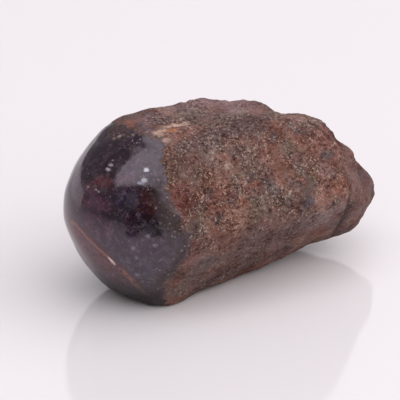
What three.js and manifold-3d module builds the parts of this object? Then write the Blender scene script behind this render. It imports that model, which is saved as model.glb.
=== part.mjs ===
// Star ruby crystal: one solid stone, a tapering six-sided corundum prism lying on one of its faces.
// One end is ground to a smooth dome and the other is broken off to a blunt tip.
// Units are millimetres, +Z is up, the stone lies along X with the dome at -X, and it rests on z = 0.
import * as THREE from 'three';
import { mergeVertices } from 'three/addons/utils/BufferGeometryUtils.js';
import Module from 'manifold-3d';

// Overall place of the stone
const AXIS_HEIGHT = 10.4;         // height of the prism's long axis above the resting face
const CENTRE_X = -0.85;           // shift that puts the middle of the stone over the origin
const CENTRE_Y = -0.29;

// Ground dome: two grinding passes that meet in a faint crease near the skin. Each is a ball that
// runs on tangent into a slowly widening cone.
const GRINDING_PASSES = [
  { name: 'main dome', at: [-9.0, 0, -0.05], radius: 11.15 },
  { name: 'shoulder pass', at: [-9.9, 0.5, -0.4], radius: 11.36 },
];
const DOME_CONE_DEGREES = 7;

// How crisply neighbouring faces meet: the larger the number the sharper the edge
const PRISM_EDGE = 14;
const BREAK_EDGE = 32;
const GRIND_EDGE = 45;

// Long faces of the prism. Each has its angle round the X axis from straight up toward -Y, its lean
// toward +X, and its distance from the middle of the stone.
const PRISM_FACES = [
  { name: 'top', turn: 6, lean: 4.5, reach: 10.1 },
  { name: 'upper front', turn: 59, lean: 4.6, reach: 9.5 },
  { name: 'lower front', turn: 118, lean: 4, reach: 9.6 },
  { name: 'front bevel', turn: 136, lean: 9.5, reach: 9.3 },
  { name: 'underside', turn: 180, lean: 0, reach: 10.75 },
  { name: 'lower back', turn: 240, lean: 6, reach: 10.2 },
  { name: 'upper back', turn: 300, lean: 12, reach: 9.6 },
];

// Faces of the broken end
const BREAK_FACES = [
  { name: 'rising underside', turn: 180, lean: 15, reach: 12.5 },
  { name: 'under the tip', turn: 190, lean: 33, reach: 16.0 },
  { name: 'upper slope', turn: -4, lean: 27, reach: 12.05 },
  { name: 'back slope', turn: -23, lean: 46, reach: 13.45 },
  { name: 'front end', turn: 56, lean: 44, reach: 14.45 },
  { name: 'lower front end', turn: 122, lean: 31.5, reach: 14.3 },
  { name: 'lower back end', turn: 250, lean: 45, reach: 17.2 },
];

// Rounded lumps fused onto the faces: middle, how far each spreads, height and flat share of its top
const LUMPS = [
  { name: 'shoulder', at: [-8.4, 5.2, 20.7], spread: 4.4, height: 0.45, flat: 0.3 },
  { name: 'beside the shoulder', at: [-5.4, 5.1, 20.9], spread: 2.6, height: -0.15, flat: 0.3 },
  { name: 'front crest', at: [-0.2, 4.6, 20.9], spread: 3.6, height: 0.22, flat: 0.45 },
  { name: 'saddle', at: [4.6, 3.7, 20.5], spread: 2.4, height: -0.15, flat: 0.3 },
  { name: 'rear crest', at: [6.2, 2.7, 20.4], spread: 2.4, height: 0.2, flat: 0.4 },
  { name: 'crest foot', at: [7.3, -1.2, 19.9], spread: 2.0, height: -0.18, flat: 0.3 },
  { name: 'foot corner', at: [-10.6, -5.6, 1.0], spread: 4.0, height: 0.75, flat: 0.2 },
  { name: 'front foot', at: [-8.6, -5.0, 0.3], spread: 3.0, height: 0.4, flat: 0.3 },
  { name: 'dome foot', at: [-13.1, -3.2, 0.5], spread: 3.0, height: 0.22, flat: 0.3 },
  { name: 'top of the slope', at: [11.3, -1.5, 18.4], spread: 3.0, height: 0.5, flat: 0.35 },
  { name: 'dome skin', at: [-12.0, 4.0, 19.6], spread: 3.5, height: 0.35, flat: 0.3 },
  { name: 'low on the dome', at: [-18.2, 2.4, 5.0], spread: 5.5, height: -0.35, flat: 0.3 },
  { name: 'back of the dome', at: [-16.7, 6.2, 15.5], spread: 4.0, height: -0.15, flat: 0.3 },
  { name: 'slope hollow', at: [14.4, -3.6, 16.1], spread: 3.2, height: -0.45, flat: 0.3 },
  { name: 'brow of the tip', at: [19.4, -1.6, 9.8], spread: 3.0, height: 0.48, flat: 0.3 },
  { name: 'under the end', at: [16.5, -2.5, 4.6], spread: 3.5, height: 0.5, flat: 0.3 },
  { name: 'under the tip', at: [19.8, -2.1, 5.4], spread: 3.0, height: -0.1, flat: 0.3 },
  { name: 'end foot', at: [15.8, -1.1, 2.4], spread: 3.8, height: 0.55, flat: 0.3 },
  { name: 'heel hollow', at: [12.4, -1.2, 1.4], spread: 4.5, height: -0.55, flat: 0.3 },
  { name: 'heel', at: [7.8, -1.6, 0.7], spread: 3.5, height: -0.26, flat: 0.3 },
  { name: 'back swelling', at: [3.0, 10.6, 10.0], spread: 5.0, height: 0.5, flat: 0.2 },
  { name: 'back hollow', at: [12.0, 7.5, 12.0], spread: 4.0, height: -0.6, flat: 0.3 },
];

// Step down behind the rear crest, only on the back part of the top
const CREST_STEP = { x: 7.0, skew: 0.25, aboutY: 1.0, soft: 0.35, drop: 0.75 };
const CREST_STEP_Y = [-1.5, 0.2];
const CREST_STEP_Z = [16.5, 18.5];

// Stepped ledges across the top of the broken end: the line they are counted along, and their edges
const LEDGES = { x: 12.2, z: 16.8, alongX: 0.78, alongZ: -0.45, soft: 0.2, height: 0.55 };
const LEDGE_EDGES = [0, 1.4, 2.8];
const LEDGE_RUN = [-0.5, 3.4];
const LEDGES_X = [10.5, 11.5];
const LEDGES_Z = [11, 13];

// Chip out of the edge where the upper front face meets the broken end
const NOTCH = { at: [13.0, -4.9, 16.8], spread: 1.5, height: -0.55, flat: 0.1 };

// Natural unevenness: spacing, height and seed of each set of swells
const SKIN_SWELLS = [
  { spacing: 6.0, height: 0.22, seed: 1 },
  { spacing: 3.0, height: 0.16, seed: 2 },
];
const SKIN_CREASES = { spacing: 1.5, level: 0.09, depth: 0.22, seed: 3 };
const DOME_SWELLS = { spacing: 7.0, height: 0.05, seed: 5 };
const WANDER = { spacing: 2.2, reach: 0.5, seeds: [11, 12, 13] };
const SKIN_FADES = [0.60, 0.85];  // share of grinding over which the natural skin dies away

const DETAIL = 21;                // rows in each side of the starting ball's triangles
const STRETCH = 1.9;              // crowds the starting points toward the two ends

const radians = THREE.MathUtils.degToRad;

function smooth(low, high, value) {
  const share = Math.min(1, Math.max(0, (value - low) / (high - low)));
  return share * share * (3 - 2 * share);
}

// Repeatable random whole number for one corner of a cubic lattice
function cornerNumber(i, j, k, seed) {
  let h = Math.imul(i, 73856093) ^ Math.imul(j, 19349663) ^ Math.imul(k, 83492791);
  h ^= Math.imul(seed, 2654435761);
  h ^= h >>> 13;
  h = Math.imul(h, 1274126177);
  h ^= h >>> 16;
  h = Math.imul(h, 2246822519);
  h ^= h >>> 15;
  return h >>> 0;
}

// Smooth swells from about -1 to 1; size is the spacing of the swells
function swells(point, size, seed) {
  const q = point.clone().divideScalar(size);
  const cell = q.clone().floor();
  const g = q.clone().sub(cell);
  const ease = (t) => t * t * t * (t * (t * 6 - 15) + 10);
  const weights = [ease(g.x), ease(g.y), ease(g.z)];
  let total = 0;
  for (const a of [0, 1]) {
    for (const b of [0, 1]) {
      for (const c of [0, 1]) {
        const h = cornerNumber(cell.x + a, cell.y + b, cell.z + c, seed);
        const slopeX = (h & 1023) / 511.5 - 1;
        const slopeY = ((h >>> 10) & 1023) / 511.5 - 1;
        const slopeZ = ((h >>> 20) & 1023) / 511.5 - 1;
        const share = (a ? weights[0] : 1 - weights[0])
          * (b ? weights[1] : 1 - weights[1])
          * (c ? weights[2] : 1 - weights[2]);
        total += share * (slopeX * (g.x - a) + slopeY * (g.y - b) + slopeZ * (g.z - c));
      }
    }
  }
  return total * 1.6;
}

function faceNormal(face) {
  const turn = radians(face.turn);
  const lean = radians(face.lean);
  return new THREE.Vector3(
    Math.sin(lean),
    -Math.sin(turn) * Math.cos(lean),
    Math.cos(turn) * Math.cos(lean),
  );
}

// One over the distance at which a direction leaves a set of faces
function facesLimit(faces, direction, edge) {
  let sum = 0;
  for (const face of faces) {
    const facing = Math.max(faceNormal(face).dot(direction), 1e-6);
    sum += (facing / face.reach) ** edge;
  }
  return sum ** (1 / edge);
}

// One over the distance at which a direction leaves the ball and cone of one grinding pass
function grindingLimit(direction, pass) {
  const from = new THREE.Vector3(...pass.at).negate();
  const along = direction.dot(from);
  const inside = from.lengthSq() - pass.radius ** 2;
  const ball = 1 / (-along + Math.sqrt(along ** 2 - inside));
  const slope = radians(DOME_CONE_DEGREES);
  const widen = Math.tan(slope);
  const start = pass.radius / Math.cos(slope) + widen * from.x;
  const a = direction.y ** 2 + direction.z ** 2 - (widen * direction.x) ** 2;
  const b = direction.y * from.y + direction.z * from.z - widen * direction.x * start;
  const c = from.y ** 2 + from.z ** 2 - start ** 2;
  const reach = -b + Math.sqrt(Math.max(b ** 2 - a * c, 0));
  const cone = Math.max(a / Math.max(reach, 1e-9), 1e-4);
  const ballX = from.x + direction.x / ball;
  return ballX > -pass.radius * Math.sin(slope) ? cone : ball;
}

function lump(point, item) {
  const away = point.distanceTo(new THREE.Vector3(...item.at)) / item.spread;
  return item.height * (1 - smooth(item.flat, 1, away));
}

// Height of the skin over the plain faces; ground is 1 on the polished dome and 0 on the natural skin
function relief(point, ground) {
  const wander = new THREE.Vector3(...WANDER.seeds.map((seed) => swells(point, WANDER.spacing, seed)));
  const q = point.clone().addScaledVector(wander, WANDER.reach);
  let height = lump(q, NOTCH);
  for (const item of LUMPS) {
    height += lump(point, item);
  }
  const past = (q.x - CREST_STEP.x) + CREST_STEP.skew * (q.y - CREST_STEP.aboutY);
  height -= CREST_STEP.drop * smooth(-CREST_STEP.soft, CREST_STEP.soft, past)
    * smooth(...CREST_STEP_Y, q.y) * smooth(...CREST_STEP_Z, point.z);
  const run = (q.x - LEDGES.x) * LEDGES.alongX + (q.z - LEDGES.z) * LEDGES.alongZ;
  let stairs = 0;
  for (const edge of LEDGE_EDGES) {
    stairs += smooth(edge - LEDGES.soft, edge + LEDGES.soft, run) / LEDGE_EDGES.length;
  }
  height += LEDGES.height * (stairs - smooth(...LEDGE_RUN, run))
    * smooth(...LEDGES_X, point.x) * smooth(...LEDGES_Z, point.z);
  let uneven = SKIN_CREASES.level;
  uneven -= SKIN_CREASES.depth * Math.abs(swells(point, SKIN_CREASES.spacing, SKIN_CREASES.seed));
  for (const item of SKIN_SWELLS) {
    uneven += item.height * swells(point, item.spacing, item.seed);
  }
  const natural = 1 - smooth(...SKIN_FADES, ground);
  const dome = DOME_SWELLS.height * swells(point, DOME_SWELLS.spacing, DOME_SWELLS.seed);
  return height + natural * uneven + (1 - natural) * dome;
}

function surfacePoint(direction) {
  const prism = facesLimit(PRISM_FACES, direction, PRISM_EDGE);
  const broken = facesLimit(BREAK_FACES, direction, BREAK_EDGE);
  const crystal = (prism ** BREAK_EDGE + broken ** BREAK_EDGE) ** (1 / BREAK_EDGE);
  const dome = Math.max(...GRINDING_PASSES.map((pass) => grindingLimit(direction, pass)));
  const both = crystal ** GRIND_EDGE + dome ** GRIND_EDGE;
  const ground = dome ** GRIND_EDGE / both;
  const reach = both ** (-1 / GRIND_EDGE);
  const middle = new THREE.Vector3(0, 0, AXIS_HEIGHT);
  const plain = direction.clone().multiplyScalar(reach).add(middle);
  return direction.clone().multiplyScalar(reach + relief(plain, ground)).add(middle);
}

function crystalGeometry() {
  const ball = new THREE.IcosahedronGeometry(1, DETAIL);
  ball.deleteAttribute('normal');
  ball.deleteAttribute('uv');
  const geometry = mergeVertices(ball, 1e-5);
  const position = geometry.getAttribute('position');
  const direction = new THREE.Vector3();
  for (let index = 0; index < position.count; index += 1) {
    direction.fromBufferAttribute(position, index);
    direction.x *= STRETCH;
    direction.normalize();
    const point = surfacePoint(direction);
    position.setXYZ(index, point.x + CENTRE_X, point.y + CENTRE_Y, point.z);
  }
  return geometry;
}

const wasm = await Module();
wasm.setup();

function toSolid(geometry) {
  const vertProperties = new Float32Array(geometry.getAttribute('position').array);
  const triVerts = new Uint32Array(geometry.index.array);
  return new wasm.Manifold(new wasm.Mesh({ numProp: 3, vertProperties, triVerts }));
}

function plainBox(width, depth, height) {
  const box = new THREE.BoxGeometry(width, depth, height);
  box.deleteAttribute('normal');
  box.deleteAttribute('uv');
  return mergeVertices(box, 1e-5);
}

function toGeometry(solid) {
  const mesh = solid.getMesh();
  const geometry = new THREE.BufferGeometry();
  geometry.setAttribute('position', new THREE.BufferAttribute(new Float32Array(mesh.vertProperties), 3));
  geometry.setIndex(new THREE.BufferAttribute(new Uint32Array(mesh.triVerts), 1));
  return geometry;
}

// The resting face is cut flat
const belowFloor = toSolid(plainBox(60, 40, 10).translate(0, 0, -5));
const stone = toGeometry(toSolid(crystalGeometry()).subtract(belowFloor));
const shaded = stone.toNonIndexed();
shaded.computeVertexNormals();

const skin = new THREE.MeshStandardMaterial({ color: 0x6b4a44, roughness: 0.75, metalness: 0 });
skin.name = 'ruby_stone';

const crystal = new THREE.Mesh(shaded, skin);
crystal.name = 'star_ruby_crystal';

const part = new THREE.Group();
part.name = 'star_ruby_stick';
part.add(crystal);

export default part;
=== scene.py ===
"""Star ruby crystal on a pale floor: a tapering six-sided ruby prism with a rough brown skin, one end
ground to a glossy dome and the other broken off to a blunt tip. The stone lies along X, dome at -X."""
import itertools
import math

import bpy
import numpy as np
from mathutils import Matrix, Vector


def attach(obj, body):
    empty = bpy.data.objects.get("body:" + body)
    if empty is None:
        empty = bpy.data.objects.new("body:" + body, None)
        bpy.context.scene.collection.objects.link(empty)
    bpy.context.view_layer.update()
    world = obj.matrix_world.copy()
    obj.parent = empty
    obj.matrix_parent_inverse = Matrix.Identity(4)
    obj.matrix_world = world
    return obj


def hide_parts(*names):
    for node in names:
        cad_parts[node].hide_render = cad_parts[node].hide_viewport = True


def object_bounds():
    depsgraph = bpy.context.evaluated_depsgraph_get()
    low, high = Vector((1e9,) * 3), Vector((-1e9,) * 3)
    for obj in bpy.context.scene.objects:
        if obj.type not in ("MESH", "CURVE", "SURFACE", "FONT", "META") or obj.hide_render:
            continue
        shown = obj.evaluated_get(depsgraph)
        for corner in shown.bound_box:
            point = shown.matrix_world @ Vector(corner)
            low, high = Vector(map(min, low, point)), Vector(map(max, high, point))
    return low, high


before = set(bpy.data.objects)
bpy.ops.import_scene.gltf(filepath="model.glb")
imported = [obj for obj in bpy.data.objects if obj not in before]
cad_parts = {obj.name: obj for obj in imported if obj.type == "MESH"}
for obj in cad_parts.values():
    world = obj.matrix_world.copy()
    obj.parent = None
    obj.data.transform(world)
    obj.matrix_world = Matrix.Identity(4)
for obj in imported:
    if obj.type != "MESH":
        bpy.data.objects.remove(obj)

CAD_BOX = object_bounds()
MM = 0.001

# ---- form of the crystal, in millimetres about the middle of the stone ---------------------------
AXIS_HEIGHT = 10.4                       # the prism's long axis above the resting face
CENTRE = np.array([-0.85, -0.29, 0.0])   # puts the middle of the stone over the origin
STRETCH = 1.9                            # crowds the points of the mesh toward the two ends
ROWS = 96          # rows of triangles in each side of the starting ball
# two grinding passes that meet in a faint crease near the skin: middle and radius of each ball
GRINDING_PASSES = {"main dome": ((-9.0, 0.0, -0.05), 11.15), "shoulder pass": ((-9.9, 0.5, -0.4), 11.36)}
DOME_CONE = math.radians(7)              # each ball runs on into a cone that widens this much
PASS_CREASE = (-0.0002, 0.0004)          # how narrow the change of finish is at the crease
# how crisply neighbouring faces meet: the larger the number the sharper the edge
PRISM_EDGE, BREAK_EDGE, GRIND_EDGE = 14, 32, 45

# long faces of the prism: degrees round X from straight up toward -Y, degrees of lean toward +X, and
# distance from the middle of the stone
PRISM_FACES = {
    "top": (6, 4.5, 10.1),
    "upper front": (59, 4.6, 9.5),
    "lower front": (118, 4, 9.6),
    "front bevel": (136, 9.5, 9.3),
    "underside": (180, 0, 10.75),
    "lower back": (240, 6, 10.2),
    "upper back": (300, 12, 9.6),
}
# the same for the faces of the broken end
BREAK_FACES = {
    "rising underside": (180, 15, 12.5),
    "under the tip": (190, 33, 16.0),
    "upper slope": (-4, 27, 12.05),
    "back slope": (-23, 46, 13.45),
    "front end": (56, 44, 14.45),
    "lower front end": (122, 31.5, 14.3),
    "lower back end": (250, 45, 17.2),
}
# rounded lumps fused onto the faces, or dents where the height is less than 0: middle, spread, height,
# flat share of the top
LUMPS = {
    "shoulder": ((-8.4, 5.2, 20.7), 4.4, 0.45, 0.3),
    "beside the shoulder": ((-5.4, 5.1, 20.9), 2.6, -0.15, 0.3),
    "front crest": ((-0.2, 4.6, 20.9), 3.6, 0.22, 0.45),
    "saddle": ((4.6, 3.7, 20.5), 2.4, -0.15, 0.3),
    "rear crest": ((6.2, 2.7, 20.4), 2.4, 0.2, 0.4),
    "crest foot": ((7.3, -1.2, 19.9), 2.0, -0.18, 0.3),
    "foot corner": ((-10.6, -5.6, 1.0), 4.0, 0.75, 0.2),
    "front foot": ((-8.6, -5.0, 0.3), 3.0, 0.4, 0.3),
    "dome foot": ((-13.1, -3.2, 0.5), 3.0, 0.22, 0.3),
    "top of the slope": ((11.3, -1.5, 18.4), 3.0, 0.5, 0.35),
    "dome skin": ((-12.0, 4.0, 19.6), 3.5, 0.35, 0.3),
    "low on the dome": ((-18.2, 2.4, 5.0), 5.5, -0.35, 0.3),
    "back of the dome": ((-16.7, 6.2, 15.5), 4.0, -0.15, 0.3),
    "slope hollow": ((14.4, -3.6, 16.1), 3.2, -0.45, 0.3),
    "brow of the tip": ((19.4, -1.6, 9.8), 3.0, 0.48, 0.3),
    "under the end": ((16.5, -2.5, 4.6), 3.5, 0.5, 0.3),
    "under the tip": ((19.8, -2.1, 5.4), 3.0, -0.1, 0.3),
    "end foot": ((15.8, -1.1, 2.4), 3.8, 0.55, 0.3),
    "heel hollow": ((12.4, -1.2, 1.4), 4.5, -0.55, 0.3),
    "heel": ((7.8, -1.6, 0.7), 3.5, -0.26, 0.3),
    "back swelling": ((3.0, 10.6, 10.0), 5.0, 0.5, 0.2),
    "back hollow": ((12.0, 7.5, 12.0), 4.0, -0.6, 0.3),
}
# chip out of the edge where the upper front face meets the broken end
NOTCH = ((13.0, -4.9, 16.8), 1.5, -0.55, 0.1)
# step down behind the rear crest, only on the back part of the top
CREST_STEP = {"x": 7.0, "skew": 0.25, "about_y": 1.0, "soft": 0.35, "drop": 0.75}
CREST_STEP_Y = (-1.5, 0.2)
CREST_STEP_Z = (16.5, 18.5)
# stepped ledges across the top of the broken end: the line they are counted along, and their edges
LEDGES = {"x": 12.2, "z": 16.8, "along_x": 0.78, "along_z": -0.45, "soft": 0.2, "height": 0.55}
LEDGE_EDGES = (0, 1.4, 2.8)
LEDGE_RUN = (-0.5, 3.4)
LEDGES_X = (10.5, 11.5)
LEDGES_Z = (11, 13)
SWELL_GAIN = 1.6             # brings every set of swells up to about -1 to 1
# natural unevenness: spacing, height and seed of each set of swells
SKIN_SWELLS = ((6.0, 0.22, 1), (3.0, 0.16, 2))
DOME_SWELLS = (7.0, 0.05, 5)
SKIN_CREASES = {"spacing": 1.5, "level": 0.09, "depth": 0.22, "seed": 3}
SKIN_FADES = (0.60, 0.85)    # share of grinding over which the natural skin dies away
# how far edges stray: spacing, reach and seeds of the swells that push them
LEDGE_WANDER = (2.2, 0.5, (11, 12, 13))
GROOVE_WANDER = (1.4, 0.25, (41, 42, 43))

# ---- finer forms that the solid leaves out -------------------------------------------------------
# grains of the skin: stretch along X, size, seed, rise of each grain, difference between grains
SKIN_GRAINS = {"coarse": (0.8, 0.62, 21, 0.10, 0.09), "fine": (1.0, 0.36, 22, 0.05, 0.03)}
SKIN_RIPPLES = {"spacing": 0.8, "depth": 0.07, "seed": 23}
GRAIN_STARTS = (-0.1, 0.9)   # distance past the edge of the polish over which the grains rise
# small bosses and dents, placed on the finished stone: middle, spread, height, flat share of the top
SMALL_LUMPS = {
    "edge of the top ledge": ((12.5, -4.2, 16.6), 0.9, 0.24, 0.3),
    "dent below the ledge": ((13.2, -4.6, 15.4), 0.7, -0.22, 0.2),
    "slope under the ledges": ((15.3, -3.7, 13.3), 2.6, 0.32, 0.1),
    "foot of that slope": ((15.6, -3.9, 12.8), 1.2, 0.2, 0.0),
    "brow over the tip": ((19.2, -2.7, 8.9), 1.8, 0.2, 0.3),
    "tip": ((19.9, -2.2, 7.7), 0.8, 0.2, 0.3),
}
# grooves in the skin as places on the finished stone, with half-width and depth
GROOVES = {
    "under the ledges": ([(9.1, -4.6, 18.9), (9.7, -5.2, 18.4), (10.4, -5.6, 17.8), (11.2, -6.0, 16.9),
                          (12.6, -5.2, 15.6)], 0.4, 0.15),
    "end crevice": ([(12.3, -8.6, 11.2), (11.7, -9.4, 10.0), (12.4, -7.9, 8.1), (12.8, -6.4, 6.4),
                     (13.3, -4.6, 4.6), (14.3, -2.3, 2.4)], 0.7, 0.36),
}
GROOVE_WALL = (0.1, 1.0)     # share of the half-width over which a groove's wall rises
# where the brown skin ends: degrees round the X axis from straight up toward -Y, and X there
SKIN_EDGE = {
    -120: -13.0, -90: -12.6, -60: -12.8, -25: -13.2, -12: -13.6, -5: -13.6, 3: -13.6, 10: -13.6, 14: -13.1,
    20: -12.4, 24: -11.8, 27: -11.8, 34: -12.6, 41: -13.2, 47: -13.4, 57: -13.7, 64: -13.5, 72: -13.2,
    80: -12.8, 89: -12.0, 96: -11.8, 107: -12.7, 120: -13.6, 130: -13.8, 143: -12.2, 165: -11.6, 200: -12.2,
}
EDGE_COUNTS_FOR = 6.0        # further from the edge than this, the distance no longer matters
SATIN_Z = (12.0, 16.0)       # the shoulder pass is left duller above this height


def ball(rows):
    """Evenly spread directions and the triangles that join them, from a divided icosahedron."""
    golden = (1 + math.sqrt(5)) / 2
    corners = np.array([[-1, golden, 0], [1, golden, 0], [-1, -golden, 0], [1, -golden, 0],
                        [0, -1, golden], [0, 1, golden], [0, -1, -golden], [0, 1, -golden],
                        [golden, 0, -1], [golden, 0, 1], [-golden, 0, -1], [-golden, 0, 1]])
    faces = [[0, 11, 5], [0, 5, 1], [0, 1, 7], [0, 7, 10], [0, 10, 11], [1, 5, 9], [5, 11, 4],
             [11, 10, 2], [10, 7, 6], [7, 1, 8], [3, 9, 4], [3, 4, 2], [3, 2, 6], [3, 6, 8],
             [3, 8, 9], [4, 9, 5], [2, 4, 11], [6, 2, 10], [8, 6, 7], [9, 8, 1]]
    points, triangles = [], []
    for a, b, c in faces:
        start = len(points)
        number = {}
        for i in range(rows + 1):
            for j in range(rows + 1 - i):
                number[i, j] = start + len(number)
                points.append((corners[a] * (rows - i - j) + corners[b] * i + corners[c] * j) / rows)
        for i in range(rows):
            for j in range(rows - i):
                triangles.append((number[i, j], number[i + 1, j], number[i, j + 1]))
                if i + j < rows - 1:
                    triangles.append((number[i + 1, j], number[i + 1, j + 1], number[i, j + 1]))
    points = np.array(points)
    # neighbouring faces share the points along their seams
    key = np.round(points * 1e6).astype(np.int64)
    _, first, same = np.unique(key, axis=0, return_index=True, return_inverse=True)
    points = points[first] * [STRETCH, 1, 1]
    return points / np.linalg.norm(points, axis=1)[:, None], same.ravel()[np.array(triangles)]


def smooth(low, high, value):
    """0 under low, 1 over high, eased between."""
    share = np.clip((value - low) / (high - low), 0, 1)
    return share * share * (3 - 2 * share)


def lattice(points):
    """The cell of a cubic lattice that each point lies in."""
    return [np.floor(points[:, axis]).astype(np.int64).astype(np.uint32) for axis in range(3)]


def neighbour(cell, shift):
    """The cell that lies a few whole steps away."""
    return [number + np.uint32(step & 0xFFFFFFFF) for number, step in zip(cell, shift)]


def random_thirds(cell, seed):
    """Three repeatable random numbers from 0 to 1 for each cell."""
    i, j, k = cell
    h = (i * np.uint32(73856093)) ^ (j * np.uint32(19349663)) ^ (k * np.uint32(83492791))
    h = h ^ np.uint32(seed * 2654435761 & 0xFFFFFFFF)
    h = (h ^ (h >> np.uint32(13))) * np.uint32(1274126177)
    h = (h ^ (h >> np.uint32(16))) * np.uint32(2246822519)
    h = h ^ (h >> np.uint32(15))
    return np.stack([(h >> np.uint32(bits) & np.uint32(1023)) / 1023.0 for bits in (0, 10, 20)], 1)


def swells(points, size, seed):
    """Smooth swells from about -1 to 1; size is their spacing."""
    q = points / size
    cell = lattice(q)
    g = q - np.floor(q)
    ease = g * g * g * (g * (g * 6 - 15) + 10)
    total = np.zeros(len(q))
    for shift in itertools.product((0, 1), repeat=3):
        slope = random_thirds(neighbour(cell, shift), seed) * 2 - 1
        share = np.prod(abs(1 - np.array(shift) - ease), axis=1)
        total += share * (slope * (g - shift)).sum(1)
    return total * SWELL_GAIN


def grains(points, size, seed):
    """Packed grains: distance to the nearest grain's middle, and a random number for each grain."""
    q = points / size
    cell = lattice(q)
    nearest = np.full(len(q), np.inf)
    pick = np.zeros(len(q))
    for shift in itertools.product((-1, 0, 1), repeat=3):
        spot = random_thirds(neighbour(cell, shift), seed)
        away = np.linalg.norm(np.floor(q) + shift + spot - q, axis=1)
        pick = np.where(away < nearest, spot[:, 0], pick)
        nearest = np.minimum(nearest, away)
    return nearest, pick


def wander(points, spacing, reach, seeds):
    """A push for each point, by which straight edges stray."""
    return np.stack([swells(points, spacing, seed) for seed in seeds], 1) * reach


def face_normal(turn, lean):
    turn, lean = math.radians(turn), math.radians(lean)
    return np.array([math.sin(lean), -math.sin(turn) * math.cos(lean), math.cos(turn) * math.cos(lean)])


def faces_limit(faces, directions, edge):
    """One over the distance at which each direction leaves a set of faces."""
    total = np.zeros(len(directions))
    for turn, lean, reach in faces.values():
        total += (np.maximum(directions @ face_normal(turn, lean), 1e-6) / reach) ** edge
    return total ** (1 / edge)


def grinding_limit(directions, at, radius):
    """One over the distance at which each direction leaves one pass's ball and cone."""
    start = -np.array(at)
    along = directions @ start
    ball_limit = 1 / (-along + np.sqrt(along ** 2 - (start @ start - radius ** 2)))
    widen = math.tan(DOME_CONE)
    wide = radius / math.cos(DOME_CONE) + widen * start[0]
    x, y, z = directions.T
    a = y ** 2 + z ** 2 - (widen * x) ** 2
    b = y * start[1] + z * start[2] - widen * x * wide
    c = start[1] ** 2 + start[2] ** 2 - wide ** 2
    reach = -b + np.sqrt(np.maximum(b ** 2 - a * c, 0))
    cone_limit = np.maximum(a / np.maximum(reach, 1e-9), 1e-4)
    on_cone = start[0] + x / ball_limit > -radius * math.sin(DOME_CONE)
    return np.where(on_cone, cone_limit, ball_limit)


def lump(points, at, spread, height, flat):
    """Height of a round lump, or of a dent where it is less than 0."""
    return height * (1 - smooth(flat, 1, np.linalg.norm(points - np.array(at), axis=1) / spread))


def main_relief(points, ground):
    """Lumps, ledges and creases that the solid has too; also gives the share of natural skin."""
    q = points + wander(points, *LEDGE_WANDER)
    x, y, z = q.T
    height = sum(lump(points, *item) for item in LUMPS.values()) + lump(q, *NOTCH)
    behind = (x - CREST_STEP["x"]) + CREST_STEP["skew"] * (y - CREST_STEP["about_y"])
    drop = CREST_STEP["drop"] * smooth(-CREST_STEP["soft"], CREST_STEP["soft"], behind)
    height -= drop * smooth(*CREST_STEP_Y, y) * smooth(*CREST_STEP_Z, points[:, 2])
    run = (x - LEDGES["x"]) * LEDGES["along_x"] + (z - LEDGES["z"]) * LEDGES["along_z"]
    stairs = sum(smooth(edge - LEDGES["soft"], edge + LEDGES["soft"], run) for edge in LEDGE_EDGES)
    ledges = (stairs / len(LEDGE_EDGES) - smooth(*LEDGE_RUN, run)) * LEDGES["height"]
    height += ledges * smooth(*LEDGES_X, points[:, 0]) * smooth(*LEDGES_Z, points[:, 2])
    uneven = sum(high * swells(points, spacing, seed) for spacing, high, seed in SKIN_SWELLS)
    creases = np.abs(swells(points, SKIN_CREASES["spacing"], SKIN_CREASES["seed"]))
    uneven += SKIN_CREASES["level"] - SKIN_CREASES["depth"] * creases
    natural = 1 - smooth(*SKIN_FADES, ground)
    spacing, high, seed = DOME_SWELLS
    height += natural * uneven + (1 - natural) * high * swells(points, spacing, seed)
    return height, natural


def fine_relief(points, natural):
    """Grains and ripples of the skin, too small for the solid."""
    ripples = np.abs(swells(points, SKIN_RIPPLES["spacing"], SKIN_RIPPLES["seed"]))
    height = -SKIN_RIPPLES["depth"] * ripples
    for stretch, size, seed, rise, difference in SKIN_GRAINS.values():
        near, pick = grains(points * [stretch, 1, 1], size, seed)
        height += (0.5 - near) * rise + (pick - 0.5) * difference
    return natural * height


def past_edge(points):
    """How far each point lies past the line where the brown skin begins; less than 0 on polish."""
    turn = np.degrees(np.arctan2(-points[:, 1], points[:, 2] - AXIS_HEIGHT))
    turns, edges = list(SKIN_EDGE), list(SKIN_EDGE.values())
    turn = np.where(turn < turns[0], turn + 360, turn)
    edge = np.interp(turn, turns + [turns[0] + 360], edges + [edges[0]])
    return np.clip(points[:, 0] - edge, -EDGE_COUNTS_FOR, EDGE_COUNTS_FOR)


def away_from_line(points, line):
    """Distance from each point to a bent line."""
    nearest = np.full(len(points), np.inf)
    for start, end in zip(np.array(line), np.array(line[1:])):
        along = np.clip((points - start) @ (end - start) / ((end - start) @ (end - start)), 0, 1)
        nearest = np.minimum(nearest, np.linalg.norm(points - start - along[:, None] * (end - start), axis=1))
    return nearest


def add_object(name, data):
    obj = bpy.data.objects.new(name, data)
    bpy.context.scene.collection.objects.link(obj)
    return obj


def mesh_object(name, points, triangles, material):
    mesh = bpy.data.meshes.new(name)
    mesh.vertices.add(len(points))
    mesh.vertices.foreach_set("co", (points * MM).astype(np.float32).ravel())
    mesh.loops.add(triangles.size)
    mesh.loops.foreach_set("vertex_index", triangles.astype(np.int32).ravel())
    mesh.polygons.add(len(triangles))
    mesh.polygons.foreach_set("loop_start", np.arange(0, triangles.size, 3, dtype=np.int32))
    mesh.polygons.foreach_set("use_smooth", np.ones(len(triangles), bool))
    mesh.update(calc_edges=True)
    mesh.validate()
    mesh.materials.append(material)
    return add_object(name, mesh)


def add_value(obj, name, values):
    """A number for each point of the mesh, which the material reads by name."""
    layer = obj.data.attributes.new(name, "FLOAT", "POINT")
    layer.data.foreach_set("value", values.astype(np.float32))


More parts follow.
